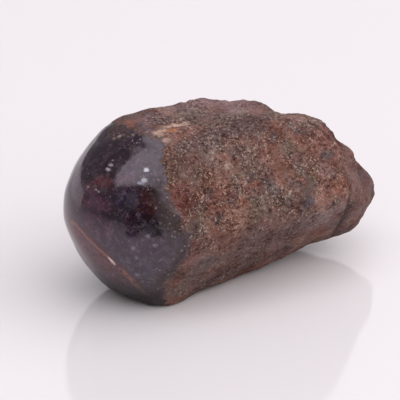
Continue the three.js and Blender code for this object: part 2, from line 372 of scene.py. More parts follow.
# ---- shader maths --------------------------------------------------------------------------------
class Socket:
    """A node's output that can be used in a Python expression."""

    def __init__(self, tree, out):
        self.tree = tree
        self.out = out

    def maths(self, operation, *values):
        return self.tree.node("ShaderNodeMath", {"operation": operation}, *values)

    def __add__(self, other):
        return self.maths("ADD", self, other)

    def __radd__(self, other):
        return self.maths("ADD", other, self)

    def __sub__(self, other):
        return self.maths("SUBTRACT", self, other)

    def __rsub__(self, other):
        return self.maths("SUBTRACT", other, self)

    def __mul__(self, other):
        return self.maths("MULTIPLY", self, other)

    def __rmul__(self, other):
        return self.maths("MULTIPLY", other, self)

    def __truediv__(self, other):
        return self.maths("DIVIDE", self, other)

    def __rtruediv__(self, other):
        return self.maths("DIVIDE", other, self)

    def __abs__(self):
        return self.maths("ABSOLUTE", self)

    def most(self, other):
        """The larger of the two."""
        return self.maths("MAXIMUM", self, other)

    def clamp(self):
        """Kept from 0 to 1."""
        return self.tree.node("ShaderNodeClamp", {}, self, 0.0, 1.0)

    def step(self, low, high):
        """0 under low, 1 over high, eased between."""
        easing = {"interpolation_type": "SMOOTHSTEP"}
        return self.tree.node("ShaderNodeMapRange", easing, self, low, high, 0.0, 1.0)


def opaque(rgb):
    return (*rgb, 1.0)


def srgb(red, green, blue):
    """A screen colour, 0 to 255 each, as the linear numbers that the shader takes."""
    return tuple(((c / 255 + 0.055) / 1.055) ** 2.4 if c > 10 else c / 255 / 12.92
                 for c in (red, green, blue))


class Tree:
    """Builds one material's nodes."""

    def __init__(self, name):
        self.material = bpy.data.materials.new(name)
        self.material.use_nodes = True
        self.nodes = self.material.node_tree.nodes
        self.links = self.material.node_tree.links
        self.nodes.clear()

    def node(self, kind, settings, *values, out=0, **named):
        """A node of any kind: its settings, then its inputs by place or by name; gives one output."""
        item = self.nodes.new(kind)
        for key, value in settings.items():
            setattr(item, key, value)
        inputs = list(enumerate(values)) + [(key.replace("_", " "), value) for key, value in named.items()]
        for place, value in inputs:
            if isinstance(value, Socket):
                self.links.new(value.out, item.inputs[place])
            elif value is not None:
                item.inputs[place].default_value = value
        return Socket(self, item.outputs[out]) if len(item.outputs) else None

    def vectors(self, operation, *values, out="Vector"):
        return self.node("ShaderNodeVectorMath", {"operation": operation}, *values, out=out)

    def scaled(self, place, by):
        return self.node("ShaderNodeVectorMath", {"operation": "SCALE"}, place, Scale=by)

    def moved(self, place, offset=(0, 0, 0), scale=(1, 1, 1), turn=(0, 0, 0)):
        return self.node("ShaderNodeMapping", {}, place, offset, turn, scale)

    def along(self, place, axis):
        """One coordinate of a place."""
        return self.node("ShaderNodeSeparateXYZ", {}, place, out=axis)

    def value(self, name):
        """A number that the mesh carries at each point."""
        return self.node("ShaderNodeAttribute", {"attribute_name": name}, out="Fac")

    def mix(self, share, first, second):
        """The first colour with a share of the second laid over it."""
        colours = [item if isinstance(item, Socket) else opaque(item) for item in (first, second)]
        left_alone = [None] * 5   # the inputs for mixing numbers and vectors
        return self.node("ShaderNodeMix", {"data_type": "RGBA"}, share, *left_alone, *colours, out=2)

    def noise(self, place, scale, detail=2.0, rough=0.5, out=0):
        return self.node("ShaderNodeTexNoise", {}, out=out, Vector=place, Scale=scale, Detail=detail,
                         Roughness=rough)

    def cells(self, place, scale):
        """Distance to the middle of the nearest cell of a packed pattern."""
        return self.node("ShaderNodeTexVoronoi", {}, Vector=place, Scale=scale)

    def bent(self, place, scale, by):
        """The place, pushed about by noise, so that edges wander."""
        push = self.vectors("SUBTRACT", self.noise(place, scale, 3.0, out="Color"), (0.5, 0.5, 0.5))
        return self.vectors("ADD", place, self.scaled(push, by))

    def patch(self, place, at, spread, soft=0.3):
        """1 inside an egg-shaped patch, fading to 0 at its rim."""
        away = self.vectors("DIVIDE", self.vectors("SUBTRACT", place, at), spread)
        return 1 - self.vectors("LENGTH", away, out="Value").step(soft, 1.0)


def painted(t, place, colour, patches):
    """The colour with a table of soft patches laid over it."""
    for at, spread, shade, share in patches.values():
        colour = t.mix(t.patch(place, at, spread) * share, colour, srgb(*shade))
    return colour


def clouded(t, place, colour, clouds):
    """The colour with a table of drifting clouds laid over it."""
    for offset, scale, detail, rough, limits, shade, share in clouds.values():
        cloud = t.noise(t.moved(place, offset), scale, detail, rough).step(*limits)
        colour = t.mix(cloud * share, colour, srgb(*shade))
    return colour


# ---- colours of the polish: places in mm on the finished stone, shades as screen colours ---------
# middle, spread, shade, share
POLISH_PATCHES = {
    "red glow": ((-18.8, -2.9, 16.3), (1.9, 2.3, 1.2), (98, 36, 34), 0.85),
    "red glow left": ((-19.7, -1.8, 15.2), (1.4, 2.0, 1.0), (90, 46, 50), 0.7),
    "mauve glow": ((-19.8, -3.2, 14.0), (2.2, 3.2, 1.6), (90, 46, 66), 0.8),
    "blue dark": ((-17.5, -6.8, 15.1), (1.9, 2.1, 2.0), (34, 24, 50), 0.9),
    "red dark": ((-15.6, -8.4, 15.0), (2.2, 2.2, 2.4), (58, 18, 16), 0.9),
    "red dark edge": ((-13.7, -9.2, 15.6), (1.2, 1.4, 2.0), (84, 36, 30), 0.7),
    "teal fringe": ((-14.1, -9.7, 14.0), (1.0, 1.2, 1.4), (44, 44, 42), 0.7),
    # painted reflection: near-black, standing in for the dark room mirrored in the polish
    "painted dark reflection": ((-16.2, -9.2, 11.9), (2.8, 2.6, 1.8), (12, 6, 8), 0.95),
    "dark film": ((-14.6, -10.2, 11.9), (1.6, 1.6, 1.6), (54, 46, 42), 0.8),
    "lower violet": ((-18.2, -7.7, 9.0), (4.6, 4.6, 3.0), (50, 31, 50), 0.85),
    "left violet": ((-20.4, -3.8, 11.0), (2.8, 4.4, 2.6), (66, 28, 46), 0.9),
    "foot violet": ((-16.4, -8.4, 6.4), (3.6, 3.6, 3.0), (42, 35, 46), 0.8),
    # painted shade: the foot of the dome darkened as if it mirrored the shadowed floor beside it
    "painted foot shade": ((-16.4, -5.4, 2.8), (3.6, 3.6, 2.2), (30, 22, 26), 0.8),
    "smoky fringe": ((-13.6, -10.4, 11.8), (1.8, 1.8, 3.0), (58, 50, 46), 0.75),
    "shoulder mauve": ((-15.9, -5.4, 18.2), (2.6, 3.2, 1.8), (68, 59, 66), 0.85),
    # painted highlight: the polish lightened where the overhead card is mirrored
    "painted shoulder highlight": ((-14.5, -4.0, 19.7), (1.3, 1.8, 0.9), (86, 78, 82), 0.7),
    "shoulder pink": ((-17.1, -5.2, 17.0), (1.6, 1.6, 0.9), (92, 60, 68), 0.5),
    "blue spot": ((-16.3, -9.3, 10.3), (0.7, 0.7, 0.7), (34, 24, 54), 0.7),
    "plum crown": ((-16.8, -0.8, 19.0), (3.0, 3.6, 2.2), (32, 10, 22), 0.85),
    "brown crown": ((-14.2, 1.2, 20.6), (1.6, 1.6, 1.2), (92, 58, 50), 0.5),
}
# small pale and dull marks in the polish
POLISH_SPOTS = {
    "upper bright": ((-14.9, -6.5, 18.08), (0.42, 0.42, 0.34), (205, 205, 215), 0.9),
    "lower bright": ((-15.5, -7.1, 17.1), (0.56, 0.5, 0.42), (175, 178, 190), 0.85),
    "lower bright tail": ((-16.0, -6.9, 16.8), (0.5, 0.4, 0.24), (150, 150, 166), 0.7),
    "grey ring": ((-17.7, -8.15, 9.46), (0.46, 0.46, 0.46), (112, 106, 116), 0.7),
    "grey low": ((-16.9, -7.65, 5.75), (0.45, 0.45, 0.38), (104, 108, 120), 0.7),
    "grey right": ((-16.3, -9.3, 11.08), (0.44, 0.4, 0.36), (126, 120, 130), 0.7),
    "grey foot": ((-15.65, -9.8, 9.95), (0.42, 0.42, 0.36), (112, 108, 116), 0.65),
    "grey tail": ((-17.3, -8.25, 8.2), (0.3, 0.3, 0.4), (108, 100, 112), 0.6),
    "crown fleck": ((-17.85, -2.85, 17.55), (0.45, 0.5, 0.26), (190, 176, 182), 0.8),
    "crown fleck upper": ((-17.5, -2.75, 18.0), (0.45, 0.5, 0.22), (170, 156, 162), 0.75),
    "crown fleck top": ((-17.1, -2.55, 18.5), (0.24, 0.3, 0.2), (150, 136, 146), 0.7),
    "left fleck": ((-19.53, -2.77, 15.3), (0.2, 0.25, 0.14), (196, 170, 172), 0.8),
    "left fleck lower": ((-19.39, -3.24, 15.2), (0.2, 0.25, 0.14), (196, 180, 182), 0.8),
    "far left fleck": ((-19.8, -1.4, 15.3), (0.3, 0.3, 0.2), (160, 130, 126), 0.7),
    "blue fleck": ((-18.6, -2.8, 3.9), (0.5, 0.6, 0.5), (74, 62, 120), 0.6),
    "grey fleck": ((-19.0, -5.7, 7.0), (0.24, 0.3, 0.34), (150, 138, 146), 0.6),
}
# pale flecks lying on the brown film of the crown
CROWN_SPOTS = {
    "left": ((-14.8, -0.2, 20.3), (0.55, 0.45, 0.2), (196, 172, 152), 0.8),
    "left low": ((-15.3, 0.1, 20.0), (0.45, 0.4, 0.16), (176, 150, 134), 0.7),
    "right": ((-13.8, -1.5, 20.7), (0.3, 0.4, 0.2), (190, 164, 146), 0.75),
    "right low": ((-14.6, -1.4, 20.1), (0.3, 0.3, 0.16), (170, 144, 130), 0.65),
}
# places where the polish takes a tint: middle, spread, softness, tint, share
POLISH_TINTS = {
    "dim crown": ((-17.2, -0.5, 19.0), (2.8, 3.4, 2.4), 0.5, (0.55, 0.3, 0.42), 0.7),
    "wine flank": ((-21.0, -0.6, 11.4), (2.4, 4.6, 4.6), 0.4, (1.1, 0.4, 0.56), 0.85),
}
# shift of the pattern, its scale, detail and roughness, limits, shade, share
POLISH_CLOUDS = {
    "greys": ((6, 2, 8), 0.45, 4.0, 0.7, (0.48, 0.64), (72, 66, 72), 0.45),
    "blues": ((3, 9, 2), 0.8, 4.0, 0.75, (0.54, 0.68), (48, 42, 74), 0.5),
}
BLACK_PLUM, VIOLET_PLUM = (26, 8, 14), (50, 24, 42)
MILK = (96, 82, 92)
FLECK_GREY = (150, 134, 142)
# the vein is a thin sheet across the dome: direction of its normal, distance along it
VEIN_ACROSS = (-0.729, 0.128, -0.672)
VEIN_AT = 8.29
VEIN_HALF_WIDTH, VEIN_WIDENS = 0.22, 0.2
VEIN_WIDENS_Z, BELOW_VEIN_Z = (3.0, 9.0), (3.0, 7.5)
# where the thread, its lip and its painted glint lie across the vein
THREAD_AT, LIP_AT, PAINTED_GLINT_AT = 0.05, -0.26, 0.02
# painted highlight: a cream glint on the vein, painted into the colour
VEIN_PAINTED_GLINT = ((-19.1, -5.4, 7.1), (0.9, 0.8, 0.9), 0.4)
BELOW_VEIN, VEIN_THREAD, VEIN_LIP, PAINTED_GLINT_CREAM = (106, 52, 48), (136, 88, 68), (66, 22, 26), (236, 205, 196)
# thin dull films lying on the polish, and the pale flecks in them
CROWN_FILM = ((-14.4, 0.8, 20.3), (1.8, 2.8, 1.5), 0.5)
# the last colour on the next line is no film but painted shade for the foot of the dome
CROWN_BROWN, FILM_BROWN, SATIN_GREY, FOOT_PAINTED_SHADE = (86, 62, 60), (56, 43, 40), (58, 51, 55), (34, 24, 28)
FLECKS_IN_FILM, FLECKS_IN_POLISH = (160, 150, 142), (150, 142, 136)
# distances from the edge of the skin, and heights, over which the skin, the films and the flecks come and go
RAGGED_BY, SKIN_STARTS = 5.0, (-0.3, 0.5)
FILM_STARTS, RIM_FLECKS_START = (-2.7, -0.2), (-3.8, -0.4)
FILM_ENDS_Z = (16.0, 18.5)
# the first pair of heights gives the dull, dark painted-shade finish at the dome's foot, the second the
# painted darkening of the polish there
SHADED_FOOT_Z, FOOT_SHADE_Z = (1.0, 6.0), (0.5, 6.0)
CORUNDUM_IOR, SKIN_IOR = 1.76, 1.5
GLOSS_TINT = (1.0, 0.88, 1.0)   # of the mirror images in the polish

# ---- colours of the skin -------------------------------------------------------------------------
# middle, spread, shade, share
SKIN_PATCHES = {
    "lower front": ((1.0, -10.4, 6.6), (22.0, 5.0, 5.2), (101, 81, 77), 0.8),
    "foot": ((-2.0, -7.5, 2.6), (14.0, 4.0, 2.6), (80, 66, 65), 0.65),
    "brown left": ((-9.8, -7.6, 17.8), (4.0, 3.4, 3.2), (84, 56, 48), 0.75),
    "rust edge": ((-12.2, -9.6, 15.0), (2.6, 3.0, 3.2), (112, 60, 48), 0.7),
    "tan belt": ((-5.2, -8.0, 17.0), (2.6, 2.6, 2.6), (130, 98, 82), 0.55),
    "tan middle": ((2.3, -8.4, 14.9), (2.4, 2.4, 2.0), (130, 94, 78), 0.5),
    "tan belt low": ((-5.6, -11.0, 11.4), (2.8, 2.0, 2.8), (150, 114, 97), 0.6),
    "tan low": ((1.2, -10.5, 10.4), (2.6, 2.0, 2.0), (122, 94, 78), 0.5),
    "rosy edge": ((8.3, -10.0, 10.8), (2.6, 2.4, 3.4), (134, 98, 88), 0.6),
    "rosy notch": ((8.3, -6.9, 16.2), (2.2, 2.2, 1.8), (160, 118, 105), 0.65),
    "pale top edge": ((7.7, -3.5, 19.5), (2.0, 1.4, 1.0), (156, 120, 113), 0.75),
    "pale end": ((8.9, -8.4, 14.2), (1.8, 1.8, 1.8), (152, 118, 112), 0.55),
    "rosy end": ((10.7, -9.4, 9.7), (1.8, 1.8, 2.6), (144, 114, 107), 0.65),
    "pale low end": ((7.6, -8.8, 7.8), (4.8, 3.0, 2.8), (138, 119, 116), 0.7),
    "dark fringe": ((-10.5, -11.1, 11.2), (1.3, 1.2, 1.3), (58, 48, 46), 0.6),
    "dull red middle": ((-0.6, -7.0, 17.4), (3.2, 2.2, 2.0), (90, 56, 48), 0.5),
    "dark middle": ((0.1, -9.9, 12.6), (1.6, 1.2, 1.2), (86, 66, 60), 0.5),
    "pale foot left": ((-9.5, -8.4, 4.2), (3.4, 2.4, 1.8), (106, 94, 90), 0.5),
    "rust right": ((6.3, -6.2, 17.4), (1.6, 1.4, 1.4), (142, 86, 72), 0.4),
    "grey by the dome": ((-9.4, -5.9, 19.7), (1.8, 1.6, 1.2), (76, 62, 60), 0.5),
    "dark top edge": ((0.8, -2.6, 20.3), (4.4, 2.6, 1.4), (74, 56, 54), 0.75),
    "dark under the end": ((15.0, -3.1, 3.1), (3.0, 3.0, 2.4), (88, 62, 60), 0.7),
    "rust belt": ((-6.6, -10.6, 8.2), (3.4, 3.0, 2.4), (138, 100, 86), 0.6),
    "rust foot": ((-10.6, -10.2, 7.4), (2.4, 2.4, 3.0), (118, 82, 74), 0.6),
    "grey foot": ((-8.6, -9.6, 6.0), (3.0, 2.6, 2.2), (100, 92, 90), 0.6),
    "olive": ((-2.0, -10.6, 11.9), (2.4, 2.4, 1.8), (110, 92, 76), 0.6),
    "dark grey top": ((-2.0, -4.7, 20.2), (5.2, 2.4, 1.6), (84, 66, 66), 0.7),
    "grey speckle": ((-6.4, -5.7, 19.9), (4.0, 2.4, 1.6), (92, 76, 74), 0.7),
    "mauve top": ((2.7, 1.2, 20.7), (4.2, 3.0, 2.0), (114, 88, 91), 0.6),
    "rust top": ((3.8, -0.9, 20.2), (2.2, 1.4, 1.4), (124, 80, 72), 0.6),
    "violet crest": ((-9.8, 0.6, 21.0), (2.8, 2.6, 1.4), (122, 101, 105), 0.75),
    "mauve strip": ((-12.0, -0.6, 21.1), (1.0, 3.0, 1.2), (92, 76, 84), 0.85),
    "dark crown": ((-13.8, -0.4, 20.7), (1.6, 2.6, 1.2), (62, 44, 48), 0.6),
    "red ledges": ((10.4, -5.9, 17.4), (3.0, 2.4, 2.0), (116, 70, 62), 0.6),
    "tip mauve": ((15.6, -5.1, 10.5), (4.4, 4.4, 4.6), (112, 82, 76), 0.6),
    "tip rust": ((13.1, -6.2, 13.6), (2.4, 2.4, 2.4), (124, 78, 64), 0.6),
    "blue grey low": ((5.2, -10.2, 11.3), (1.7, 1.3, 1.0), (68, 63, 70), 0.8),
    "blue grey middle": ((1.1, -9.4, 13.3), (1.1, 1.1, 1.0), (84, 80, 84), 0.6),
    "blue grey by the ledges": ((9.6, -7.4, 15.6), (1.6, 1.4, 0.9), (96, 94, 94), 0.7),
    "blue grey top edge": ((2.85, -6.1, 18.5), (0.8, 0.8, 0.7), (84, 84, 84), 0.65),
    "dark spot left": ((-7.85, -10.9, 12.2), (1.0, 1.0, 1.0), (60, 46, 46), 0.7),
    "dark spot upper": ((-1.85, -8.5, 15.5), (0.9, 0.9, 0.9), (66, 52, 52), 0.6),
    "dark red": ((3.6, -7.9, 6.2), (0.9, 0.9, 0.8), (84, 44, 44), 0.6),
    "cream belt": ((-4.5, -7.9, 17.1), (1.0, 0.9, 0.8), (176, 160, 144), 0.5),
    "cream right": ((6.0, -6.7, 16.9), (0.8, 0.8, 0.7), (160, 140, 124), 0.4),
    "cream streak": ((-8.4, -1.9, 21.0), (2.2, 0.7, 0.8), (226, 194, 172), 0.95),
    "cream streak left": ((-10.8, -2.7, 20.9), (1.5, 0.9, 0.8), (202, 172, 152), 0.85),
    "cream by the dome": ((-11.2, -4.3, 20.2), (0.9, 0.7, 0.6), (190, 170, 156), 0.6),
    "cream streak right": ((-6.9, -1.6, 21.0), (0.9, 0.7, 0.7), (226, 196, 176), 0.8),
    "orange spot": ((-9.2, -3.1, 20.9), (0.9, 0.6, 0.6), (176, 118, 72), 0.85),
    "russet": ((-12.6, 1.2, 21.0), (1.5, 1.4, 1.0), (130, 82, 70), 0.7),
    "pink crest": ((0.5, 3.6, 21.0), (14.0, 3.0, 2.0), (134, 108, 110), 0.75),
    "top haze": ((-3.0, -0.8, 21.0), (10.0, 3.2, 1.6), (112, 96, 92), 0.55),
    "pink streak": ((-10.9, -9.9, 8.2), (1.4, 1.0, 1.8), (150, 104, 94), 0.5),
    "red crest ledge": ((11.6, -3.6, 18.0), (1.6, 2.4, 1.0), (100, 58, 52), 0.6),
    "plum tip": ((17.6, -3.6, 9.8), (2.8, 2.8, 3.0), (82, 58, 60), 0.75),
    "pale under the tip": ((15.6, -5.6, 7.2), (2.0, 2.2, 1.8), (136, 108, 104), 0.5),
    "dim ridge": ((1.5, -5.6, 18.8), (4.8, 2.0, 1.9), (84, 64, 60), 0.4),
    "red in the notch": ((13.9, -3.6, 15.1), (0.9, 1.1, 0.8), (84, 36, 34), 0.8),
    "red on the slope": ((15.3, -4.4, 12.2), (1.0, 1.2, 1.0), (96, 52, 46), 0.6),
    "orange end": ((9.7, -9.5, 12.3), (1.5, 1.5, 1.5), (140, 92, 66), 0.6),
    "small blue grey": ((9.1, -9.9, 10.2), (0.8, 0.8, 0.7), (84, 80, 84), 0.6),
    "dark end": ((12.3, -8.0, 8.2), (1.0, 1.0, 1.0), (58, 46, 48), 0.7),
    "red foot": ((13.3, -4.6, 4.9), (1.4, 1.6, 1.4), (84, 46, 44), 0.6),
    "mauve top edge": ((11.2, -3.3, 18.5), (3.0, 2.0, 1.2), (106, 82, 82), 0.6),
}
# shift of the pattern, its scale, detail and roughness, limits, shade, share
SKIN_CLOUDS = {
    "grey": ((5, 1, 9), 0.42, 3.0, 0.6, (0.48, 0.62), (92, 80, 80), 0.65),
    "olive": ((2, 8, 4), 0.4, 3.0, 0.6, (0.52, 0.64), (110, 94, 76), 0.55),
    "rust": ((7, 2, 5), 0.5, 3.0, 0.6, (0.54, 0.66), (132, 80, 62), 0.55),
}
TAN_BROWN, RED_BROWN = (106, 80, 70), (118, 78, 66)
BROKEN_RED, BROKEN_GREY = (98, 56, 50), (116, 98, 98)
# painted shade laid into the grooves
CREVICE_PAINTED_SHADE = (48, 30, 31)
BROKEN_END_X = (11.0, 14.0)
# the grain is quieter low down, on the broken end and in a few places: middle, spread, how quiet
QUIET_FOOT_Z, QUIET_END_X = (6.0, 12.0), (10.0, 14.0)
QUIET_PATCHES = {
    "back of the top": ((4.0, 1.0, 21.0), (7.0, 4.4, 1.8), 0.45),
    "front of the top": ((2.0, -4.6, 19.6), (7.0, 3.0, 1.6), 0.35),
    "by the dome": ((-12.4, 0.4, 21.0), (3.0, 4.4, 1.6), 0.6),
}
FROST = ((-5.0, -4.8, 19.6), (8.0, 3.6, 2.6), 0.4)
# specks that stand out of the grain: shift of the pattern, its scale, limits, shade, share
SKIN_SPECKS = {
    "pale": ((8, 3, 1), 1.9, (0.16, 0.38), (196, 172, 150), 0.62),
    # pale grains, partly painted glints that stand in for sparkling crystal faces
    "grains with painted glints": ((3, 1, 6), 3.2, (0.12, 0.34), (206, 186, 166), 0.68),
    "frost": ((6, 9, 2), 2.5, (0.14, 0.34), (186, 172, 156), 0.5),
    "soot": ((1, 5, 7), 1.4, (0.12, 0.42), (50, 34, 31), 0.35),
}


def polish_colour(t, place):
    """Near-black plum with red, violet and blue glows, one brown vein and pale specks, with painted light on
    it: a painted dark reflection, a painted highlight on the shoulder, a painted glint on the vein and
    painted shade toward the foot.
    """
    bent = t.bent(place, 0.6, 1.8)
    high = t.along(bent, "Z")
    depths = t.noise(place, 0.4, 4.0, 0.7).step(0.38, 0.62)
    colour = t.mix(depths, srgb(*BLACK_PLUM), srgb(*VIOLET_PLUM))
    colour = painted(t, bent, colour, POLISH_PATCHES)
    # pinkish brown below the vein, turning back to violet at the foot
    across = t.vectors("DOT_PRODUCT", t.bent(place, 0.7, 0.6), VEIN_ACROSS, out="Value") - VEIN_AT
    below = across.step(-0.15, 0.5) * (0.25 + high.step(*BELOW_VEIN_Z) * 0.65)
    colour = t.mix(below, colour, srgb(*BELOW_VEIN))
    # milky mottling
    mottle = (0.5 + (t.noise(place, 1.1, 5.0, 0.9) - 0.5) * 4.0).clamp()
    colour = t.scaled(colour, 0.15 + mottle * 1.15)
    colour = t.mix(mottle.step(0.55, 1.0) * 0.6, colour, srgb(*MILK))
    colour = clouded(t, place, colour, POLISH_CLOUDS)
    for at, spread, soft, tint, share in POLISH_TINTS.values():
        colour = t.mix(t.patch(bent, at, spread, soft) * share, colour, t.vectors("MULTIPLY", colour, tint))
    colour = veined(t, place, colour, across, high)
    # pale flecks, longer one way
    leaning = t.moved(place, scale=(1.0, 1.0, 0.55), turn=(0.5, 0.4, 0.2))
    flecks = (1 - t.cells(leaning, 1.9).step(0.07, 0.19)) * t.noise(place, 0.45, 3.0).step(0.45, 0.6)
    colour = t.mix(flecks * 0.55, colour, srgb(*FLECK_GREY))
    colour = painted(t, t.bent(place, 2.6, 0.45), colour, POLISH_SPOTS)
    # painted shade: darker toward the foot, where the polish mirrors the shadowed floor
    return t.scaled(colour, 0.25 + high.step(*FOOT_SHADE_Z) * 0.75)


def veined(t, place, colour, across, high):
    """The colour with an orange-brown thread, wider toward the foot, a dark red lip above it, and a painted
    glint on the thread.
    """
    half_width = VEIN_HALF_WIDTH + (1 - high.step(*VEIN_WIDENS_Z)) * VEIN_WIDENS
    thread = 1 - (abs(across - THREAD_AT) / half_width).step(0.3, 1.0)
    thread = thread * t.noise(place, 1.2, 3.0).step(0.3, 0.5)
    colour = t.mix(thread * 0.75, colour, srgb(*VEIN_THREAD))
    lip = 1 - abs(across - LIP_AT).step(0.04, 0.32)
    colour = t.mix(lip * 0.75, colour, srgb(*VEIN_LIP))
    # painted highlight: a cream glint across the thread
    painted_glint = (1 - abs(across - PAINTED_GLINT_AT).step(0.04, 0.17)) * t.patch(place, *VEIN_PAINTED_GLINT)
    return t.mix(painted_glint * 0.9, colour, srgb(*PAINTED_GLINT_CREAM))


def skin_colour(t, place):
    """Brown, rust and grey skin broken into pale and dark grains, some of them painted glints, with painted
    shade in the grooves; also gives the grains' tone.
    """
    bent = t.bent(place, 0.7, 1.4)
    wide = t.noise(bent, 0.18, 3.0, 0.55).step(0.38, 0.62)
    colour = t.mix(wide, srgb(*TAN_BROWN), srgb(*RED_BROWN))
    colour = clouded(t, bent, colour, SKIN_CLOUDS)
    colour = painted(t, bent, colour, SKIN_PATCHES)
    # red and grey blotches on the broken end
    toward_tip = t.along(bent, "X")
    broken_end = toward_tip.step(*BROKEN_END_X)
    blotches = t.noise(t.moved(place, (5, 1, 3)), 0.8, 3.0, 0.65)
    colour = t.mix(blotches.step(0.50, 0.60) * broken_end * 0.6, colour, srgb(*BROKEN_RED))
    colour = t.mix((1 - blotches.step(0.38, 0.48)) * broken_end * 0.55, colour, srgb(*BROKEN_GREY))
    # the grain is quieter in smears too
    smears = t.noise(t.moved(place, (2, 5, 11)), 0.55, 3.0, 0.6).step(0.5, 0.62)
    quiet = (1 - t.along(bent, "Z").step(*QUIET_FOOT_Z)) * 0.4
    quiet = quiet.most(toward_tip.step(*QUIET_END_X) * 0.6).most(smears * 0.6)
    for at, spread, share in QUIET_PATCHES.values():
        quiet = quiet.most(t.patch(place, at, spread, 0.5) * share)
    loud = 1 - quiet
    tone = grain_tone(t, place, loud)
    # light grains are paler and dark grains redder, as if the grain were laid on in grey
    colour = t.vectors("MULTIPLY", t.scaled(colour, 0.5 + tone), (0.85, 0.78, 0.80))
    colour = t.vectors("ADD", colour, t.scaled((0.085, 0.085, 0.085), tone - 0.47))
    colour = t.vectors("MAXIMUM", colour, (0.02, 0.012, 0.01))
    ragged = t.bent(place, 3.6, 0.4)
    clumps = t.noise(t.moved(place, (8, 3, 1)), 0.42, 4.0, 0.75)
    soot = t.noise(t.moved(place, (1, 5, 7)), 0.4, 4.0, 0.7)
    where = {
        "pale": clumps.step(0.46, 0.62) * loud,
        "grains with painted glints": clumps.step(0.40, 0.54) * loud,
        "frost": t.patch(place, *FROST),
        "soot": soot.step(0.42, 0.6) * loud,
    }
    for name, (offset, scale, limits, shade, share) in SKIN_SPECKS.items():
        specks = (1 - t.cells(t.moved(ragged, offset), scale).step(*limits)) * where[name]
        colour = t.mix(specks * share, colour, srgb(*shade))
    # painted shade: the grooves are darkened as if shadowed
    return t.mix(t.value("crevice") * 0.75, colour, srgb(*CREVICE_PAINTED_SHADE)), tone


def grain_tone(t, place, loud):
    """Light and dark of the grain, from 0 to 1: fine grains and threads over broader lumps."""
    grain = t.noise(t.bent(t.moved(place, scale=(0.8, 1, 1)), 1.2, 0.4), 2.3, 3.0, 0.85)
    rings = t.cells(t.bent(place, 2.0, 0.4), 2.2)
    threads = abs(t.noise(t.bent(place, 1.0, 0.8), 1.3, 3.0, 0.75) - 0.5).step(0.0, 0.05)
    swing = (grain - 0.5) * 2.6 + (rings - 0.45) * 0.3 - (threads - 0.7) * 0.4
    lumps = t.noise(t.moved(place, (4, 6, 1)), 0.3)
    knots = t.noise(t.moved(place, (9, 3, 6)), 0.75)
    return (0.5 + swing * loud + (lumps - 0.5) + (knots - 0.5) * 0.3).clamp()


def stone_material():
    """Glossy polish and dull skin, parted by a ragged edge, with thin dull films on the polish and painted
    shade at the foot of the dome.
    """
    t = Tree("ruby_stone")
    place = t.scaled(t.node("ShaderNodeTexCoord", {}, out="Object"), 1 / MM)
    high = t.along(place, "Z")
    past = t.value("past_edge")
    satin = t.value("satin")
    polish = polish_colour(t, place)
    skin, tone = skin_colour(t, place)
    film_tone = 0.2 + tone * 1.5
    # a brown film on the crown, with pale flecks lying on it
    crown = t.patch(t.bent(place, 1.6, 0.8), *CROWN_FILM) * t.noise(place, 1.3, 4.0, 0.8).step(0.36, 0.58)
    polish = t.mix(crown * 0.7, polish, t.scaled(srgb(*CROWN_BROWN), film_tone))
    polish = painted(t, t.bent(place, 2.6, 0.45), polish, CROWN_SPOTS)
    # a speckled film along the edge of the skin, less so on top
    rim_flecks = (1 - t.cells(t.bent(place, 2.4, 0.5), 1.9).step(0.1, 0.32)) * past.step(*RIM_FLECKS_START)
    rim_flecks = rim_flecks * t.noise(place, 0.6, 3.0).step(0.42, 0.56) * 0.8
    film_colour = t.mix(rim_flecks, t.scaled(srgb(*FILM_BROWN), film_tone), srgb(*FLECKS_IN_FILM))
    film = past.step(*FILM_STARTS) * t.noise(place, 0.9, 4.0, 0.8).step(0.34, 0.54)
    film = film * (1 - high.step(*FILM_ENDS_Z))
    polish = t.mix(film * 0.8, t.mix(rim_flecks, polish, srgb(*FLECKS_IN_POLISH)), film_colour)
    polish = t.mix(satin * 0.8, polish, t.scaled(srgb(*SATIN_GREY), 0.3 + tone * 1.4))
    # the polish is a little cloudy, scratched and rippled
    clouding = t.noise(place, 1.2, 4.0, 0.6).step(0.5, 0.8)
    scratches = t.noise(t.moved(place, scale=(1, 1, 0.2), turn=(0.9, 0.3, 0)), 3.0, 4.0, 0.7).step(0.5, 0.7)
    roughness = 0.07 + clouding * 0.08 + scratches * 0.06 + satin * 0.3
    height = t.noise(place, 2.2, 4.0, 0.7)
    ripples = t.node("ShaderNodeBump", {}, Strength=0.3, Distance=0.03 * MM, Height=height)
    glossy = t.node("ShaderNodeBsdfPrincipled", {}, Base_Color=polish, Roughness=roughness, Normal=ripples,
                    IOR=CORUNDUM_IOR, Specular_Tint=opaque(GLOSS_TINT))
    # the skin; where its dull finish shows on the polish, it takes the film's colour
    # painted shade: the foot of the dome turns dull and dark, standing in for the shadowed floor that it
    # mirrors
    foot = (1 - high.step(*SHADED_FOOT_Z)) * 0.8
    film_colour = t.mix(foot, film_colour, srgb(*FOOT_PAINTED_SHADE))
    ragged = (t.noise(place, 0.7, 6.0, 0.85) - 0.5) * RAGGED_BY
    rough_mask = (past + ragged).step(*SKIN_STARTS)
    bumps = t.node("ShaderNodeBump", {}, Strength=1.0, Distance=0.1 * MM, Height=tone)
    dull = t.node("ShaderNodeBsdfPrincipled", {}, Base_Color=t.mix(rough_mask, film_colour, skin),
                  Roughness=0.8 - tone * 0.2, Normal=bumps, IOR=SKIN_IOR, Specular_IOR_Level=0.3)
    dull_share = rough_mask.most(film * 0.7).most(foot).most(crown * 0.5)
    t.node("ShaderNodeOutputMaterial", {}, t.node("ShaderNodeMixShader", {}, dull_share, glossy, dull))
    return t.material


def floor_material():
    t = Tree("pale_floor")
    shader = t.node("ShaderNodeBsdfPrincipled", {}, Base_Color=opaque((0.80, 0.775, 0.785)),
                    Roughness=0.09, IOR=1.38)
    t.node("ShaderNodeOutputMaterial", {}, shader)
    return t.material


def glow_material(name, colour, strength):
    t = Tree(name)
    t.node("ShaderNodeOutputMaterial", {}, t.node("ShaderNodeEmission", {}, opaque(colour), strength))
    return t.material


